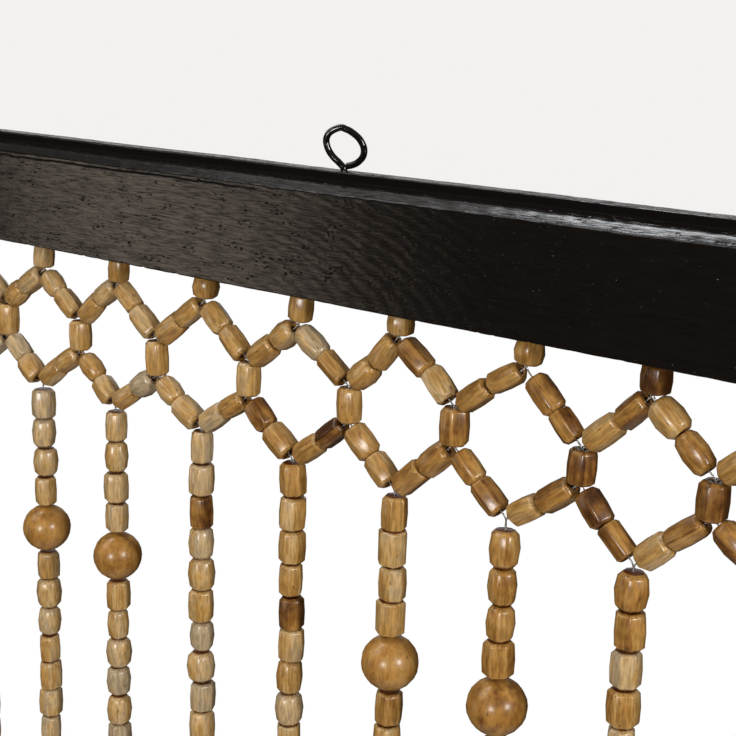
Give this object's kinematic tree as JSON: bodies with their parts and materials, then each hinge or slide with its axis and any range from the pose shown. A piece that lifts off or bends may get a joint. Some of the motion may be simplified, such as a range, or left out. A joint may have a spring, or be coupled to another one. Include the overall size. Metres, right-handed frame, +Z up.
{
  "type": "bead curtain with hanging rail",
  "caption": "Doorway curtain of wooden beads threaded in straight strands under one row of beaded net cells, hung from a painted moulded rail with screw eyes.",
  "frame": {"origin": "centre of the rail's flat back face", "axes": "+X along the rail, the front of the curtain faces -Y, +Z up"},
  "size_m": [0.9, 0.016, 2.0123],
  "materials": {
    "black_paint": "gloss black paint over open-pored wood",
    "black_wire": "gloss black lacquer on steel wire",
    "bead_wood": "satin varnish on brown and tan wood, grain along each bead"
  },
  "bodies": {
    "root": {"rail": "black_paint", "eye_left": "black_wire", "eye_right": "black_wire", "bead_curtain": "bead_wood"}
  },
  "joints": []
}
